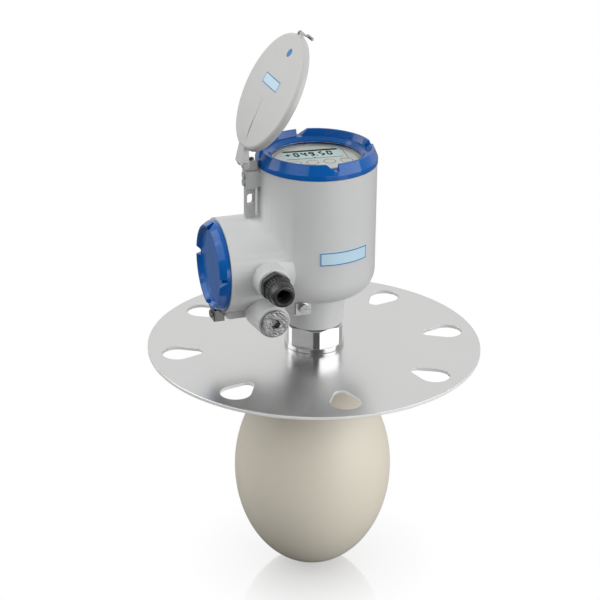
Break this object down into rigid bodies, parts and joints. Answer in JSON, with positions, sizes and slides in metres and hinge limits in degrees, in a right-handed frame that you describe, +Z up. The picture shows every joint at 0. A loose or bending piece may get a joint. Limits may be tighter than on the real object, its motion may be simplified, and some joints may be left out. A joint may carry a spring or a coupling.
{
  "type": "radar level transmitter",
  "caption": "Radar level transmitter: drop antenna below a slotted plate, two-compartment housing with screw caps, cable gland and a hinged weather lid.",
  "frame": {"origin": "centre of the mounting plate's underside, on the antenna's axis", "axes": "+Z up the antenna's axis, the side compartment points to -X, the cable entries face -Y"},
  "size_m": [0.3, 0.3, 0.5123],
  "materials": {
    "flange_steel": "brushed",
    "drop_plastic": "matte",
    "gasket_rubber": "matte",
    "adaptor_steel": "turned",
    "brass_parts": "satin",
    "feed_plastic": "matte",
    "seal_rubber": "matte",
    "washer_steel": "satin",
    "spring_steel": "satin",
    "housing_paint": "semi-gloss",
    "name_plate": "satin",
    "inner_steel": "satin",
    "small_screws": "satin",
    "radar_module": "satin",
    "can_metal": "satin",
    "dark_plastic": "matte",
    "display_plate": "satin",
    "screen": "gloss",
    "display_keys": "gloss",
    "potting": "matte",
    "board": "satin",
    "terminal_plastic": "matte",
    "terminal_metal": "satin",
    "lock_steel": "satin",
    "gland_plastic": "satin",
    "gland_rubber": "matte",
    "nut_plastic": "satin",
    "ring_plastic": "matte",
    "plug_metal": "polished",
    "earth_steel": "satin",
    "earth_screw": "satin",
    "bracket_paint": "semi-gloss",
    "leaf_steel": "satin",
    "pin_steel": "satin",
    "cap_paint": "gloss",
    "side_cap_paint": "gloss",
    "window_glass": "clear",
    "ring_metal": "satin",
    "lid_paint": "semi-gloss",
    "latch_steel": "satin"
  },
  "bodies": {
    "tank_side": {"flange_plate": "flange_steel", "drop_antenna": "drop_plastic", "drop_gasket": "gasket_rubber", "hex_adaptor": "adaptor_steel", "waveguide_tube": "brass_parts", "feed_cone": "feed_plastic", "stem_seal": "seal_rubber", "thrust_washer": "washer_steel", "retaining_ring": "spring_steel"},
    "housing": {"housing": "housing_paint", "name_plate": "name_plate", "electronics_plate": "inner_steel", "electronics_screws": "small_screws", "radar_module": "radar_module", "electronics_can": "can_metal", "display_carrier": "dark_plastic", "display_plate": "display_plate", "lcd_module": "screen", "display_keys": "display_keys", "wire_feedthrough": "potting", "terminal_board": "board", "terminal_block": "terminal_plastic", "terminal_screws": "terminal_metal", "inner_earth_screw": "small_screws", "cap_lock": "lock_steel", "cap_lock_screw": "small_screws", "gland_washer": "seal_rubber", "gland_body": "gland_plastic", "gland_seal": "gland_rubber", "plug_washer": "seal_rubber", "blanking_plug": "plug_metal", "earth_clamp": "earth_steel", "earth_washer": "washer_steel", "earth_screw": "earth_screw", "hinge_bracket": "bracket_paint", "bracket_screws": "small_screws", "hinge_leaf": "leaf_steel", "hinge_pin": "pin_steel"},
    "display_cap_carrier": {"display_cap_seal": "seal_rubber"},
    "display_cap": {"display_cap": "cap_paint", "window_gasket": "seal_rubber", "window_glass": "window_glass", "window_ring": "ring_metal"},
    "side_cap_carrier": {"side_cap_seal": "seal_rubber"},
    "side_cap": {"side_cap": "side_cap_paint"},
    "gland_carrier": {"pressure_ring": "ring_plastic"},
    "gland_nut": {"gland_nut": "nut_plastic"},
    "weather_lid": {"weather_lid": "lid_paint", "latch_pin": "pin_steel"},
    "lid_latch": {"lid_latch": "latch_steel"}
  },
  "joints": [
    {"name": "housing_swivel", "type": "hinge", "parent": "tank_side", "child": "housing", "pos_m": [0, 0, 0.036], "axis": [0, 0, 1], "range_deg": [-175, 175]},
    {"name": "display_cap_lift", "type": "slide", "parent": "housing", "child": "display_cap_carrier", "axis": [0, 0, 1], "range_m": [0, 0.011]},
    {"name": "display_cap_turn", "type": "hinge", "parent": "display_cap_carrier", "child": "display_cap", "pos_m": [0, 0, 0.176], "axis": [0, 0, 1], "range_deg": [0, 1980]},
    {"name": "side_cap_lift", "type": "slide", "parent": "housing", "child": "side_cap_carrier", "axis": [-1, 0, 0], "range_m": [0, 0.01]},
    {"name": "side_cap_turn", "type": "hinge", "parent": "side_cap_carrier", "child": "side_cap", "pos_m": [-0.0895, 0, 0.089], "axis": [-1, 0, 0], "range_deg": [0, 1800]},
    {"name": "gland_lift", "type": "slide", "parent": "housing", "child": "gland_carrier", "axis": [0, -1, 0], "range_m": [0, 0.0045]},
    {"name": "gland_turn", "type": "hinge", "parent": "gland_carrier", "child": "gland_nut", "pos_m": [-0.0563, -0.056, 0.0885], "axis": [0, -1, 0], "range_deg": [0, 1080]},
    {"name": "lid_hinge", "type": "hinge", "parent": "housing", "child": "weather_lid", "pos_m": [-0.0665, 0, 0.1805], "axis": [0, -1, 0], "range_deg": [-62, 48]},
    {"name": "latch_pivot", "type": "hinge", "parent": "weather_lid", "child": "lid_latch", "pos_m": [-0.01523, 0, 0.29119], "axis": [0, -1, 0], "range_deg": [0, 90]}
  ],
  "couplings": [
    {"joint": "display_cap_lift", "follows": "display_cap_turn", "m_per_rad": 0.00031831},
    {"joint": "side_cap_lift", "follows": "side_cap_turn", "m_per_rad": 0.00031831},
    {"joint": "gland_lift", "follows": "gland_turn", "m_per_rad": 0.00023873}
  ]
}
